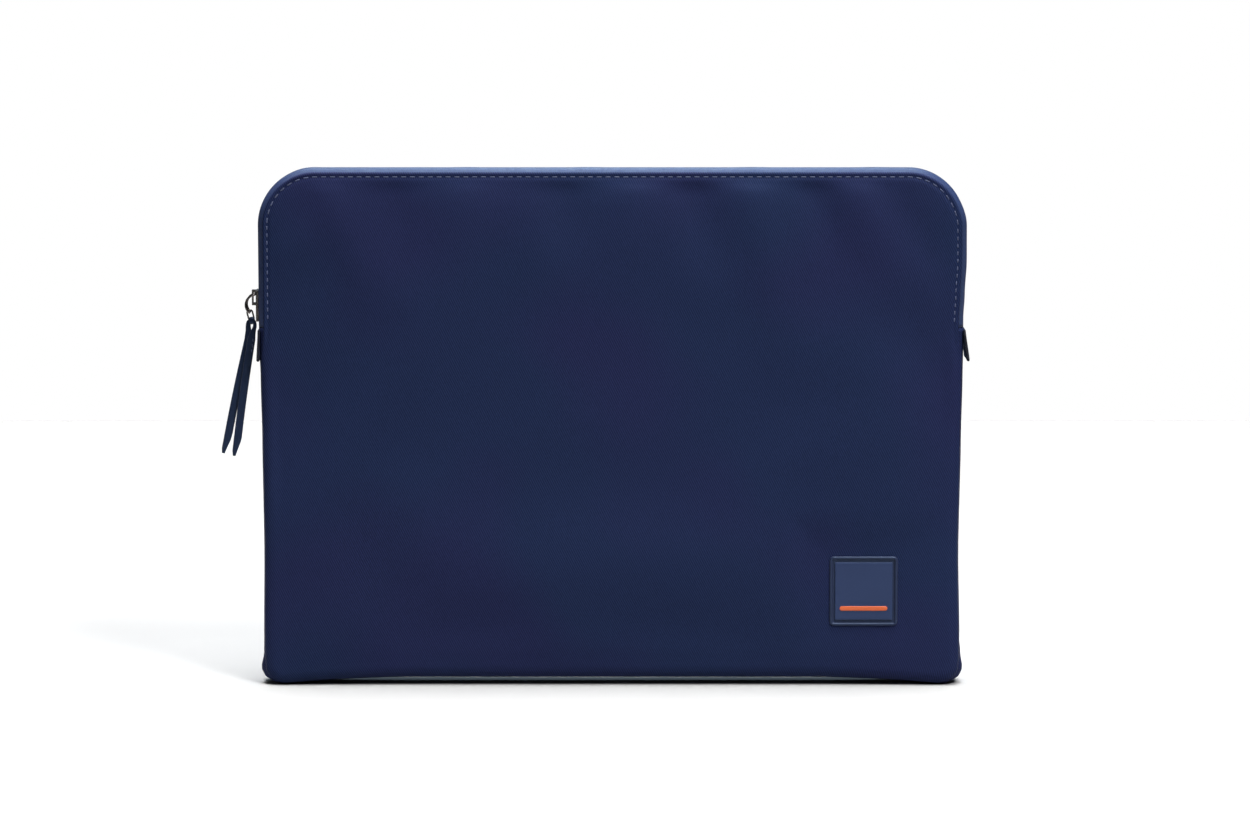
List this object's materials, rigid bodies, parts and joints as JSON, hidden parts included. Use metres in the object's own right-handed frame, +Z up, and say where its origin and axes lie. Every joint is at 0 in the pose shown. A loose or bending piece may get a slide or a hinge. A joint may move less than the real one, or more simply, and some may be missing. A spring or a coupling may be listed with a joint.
{
  "type": "laptop sleeve",
  "caption": "Slim padded laptop sleeve in coated twill, zipped round its top, with a leather zip pull; it stands on its bottom edge.",
  "frame": {"origin": "on the floor, under the middle of the closed sleeve's bottom edge", "axes": "+X to the right across the front face, +Y towards the back panel, +Z up"},
  "size_m": [0.361, 0.0255, 0.25],
  "materials": {
    "twill": "matte",
    "lining": "matte",
    "foam": "matte",
    "zip_tape": "satin",
    "zip_coil": "satin",
    "thread": "satin",
    "dark_metal": "polished",
    "leather": "satin",
    "tab_tape": "matte",
    "badge_rubber": "matte",
    "badge_plaque": "satin",
    "badge_orange": "satin"
  },
  "bodies": {
    "shell": {"back_panel": "twill", "back_foam": "foam", "back_lining": "lining", "front_panel_lower": "twill", "front_foam_lower": "foam", "front_lining_lower": "lining", "side_gusset": "twill", "gusset_lining": "lining", "zip_tape_back": "zip_tape", "zip_coil_back": "zip_coil", "zip_tape_front_ends": "zip_tape", "zip_coil_front_ends": "zip_coil", "left_zip_stop": "dark_metal", "right_zip_stop": "dark_metal", "topstitch_back": "thread", "topstitch_front_lower": "thread", "badge_frame": "badge_rubber", "badge_plaque": "badge_plaque", "badge_bar": "badge_orange"},
    "front_flap": {"front_panel_upper": "twill", "front_foam_upper": "foam", "front_lining_upper": "lining", "zip_tape_front": "zip_tape", "zip_coil_front": "zip_coil", "topstitch_front_upper": "thread"},
    "slider": {"slider_body": "dark_metal", "slider_bridge": "dark_metal"},
    "loop": {"pull_loop": "dark_metal"},
    "link": {"link_ring": "dark_metal"},
    "pull": {"pull_strap": "leather", "pull_stitches": "thread"},
    "left_tab": {"left_end_tab": "tab_tape"},
    "right_tab": {"right_end_tab": "tab_tape"}
  },
  "joints": [
    {"name": "mouth_fold", "type": "hinge", "parent": "shell", "child": "front_flap", "pos_m": [0, -0.012, 0.1934], "axis": [1, 0, 0], "range_deg": [0, 35]},
    {"name": "slider_run", "type": "slide", "parent": "shell", "child": "slider", "axis": [0, 0, -1], "range_m": [-0.03, 0]},
    {"name": "loop_swing", "type": "hinge", "parent": "slider", "child": "loop", "pos_m": [-0.1716, 0, 0.1892], "axis": [0, 1, 0], "range_deg": [0, 75]},
    {"name": "link_swing", "type": "hinge", "parent": "loop", "child": "link", "pos_m": [-0.17423, 0, 0.1806], "axis": [0, 1, 0], "range_deg": [0, 60]},
    {"name": "pull_swing", "type": "hinge", "parent": "link", "child": "pull", "pos_m": [-0.17322, 0, 0.17658], "axis": [0.9703, 0, 0.2419], "range_deg": [-40, 40]},
    {"name": "left_tab_flex", "type": "hinge", "parent": "shell", "child": "left_tab", "pos_m": [-0.1688, 0, 0.1725], "axis": [0, 1, 0], "range_deg": [0, 8]},
    {"name": "right_tab_flex", "type": "hinge", "parent": "shell", "child": "right_tab", "pos_m": [0.1688, 0, 0.1725], "axis": [0, -1, 0], "range_deg": [0, 8]}
  ]
}
